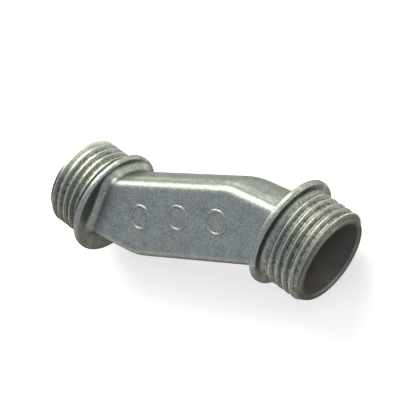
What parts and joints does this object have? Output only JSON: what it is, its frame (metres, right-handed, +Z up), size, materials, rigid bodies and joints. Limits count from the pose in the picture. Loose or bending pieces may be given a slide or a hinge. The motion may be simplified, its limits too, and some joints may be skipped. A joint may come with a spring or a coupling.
{
  "type": "conduit offset nipple",
  "caption": "Die-cast offset nipple: threaded, collared ends on parallel, stepped axes, joined by a slanted hollow body with flat sides.",
  "frame": {"origin": "centre of the underside of the bounding box, on the bench that the casting lies on", "axes": "+Z up from the bench, +X along the levelled thread axes towards the mouth that dips, +Y level and square to it, the way the dipping end is set over from the other"},
  "size_m": [0.0686, 0.0416, 0.024],
  "materials": {
    "zinc": "satin, as cast"
  },
  "bodies": {
    "root": {"nipple_body": "zinc"}
  },
  "joints": []
}
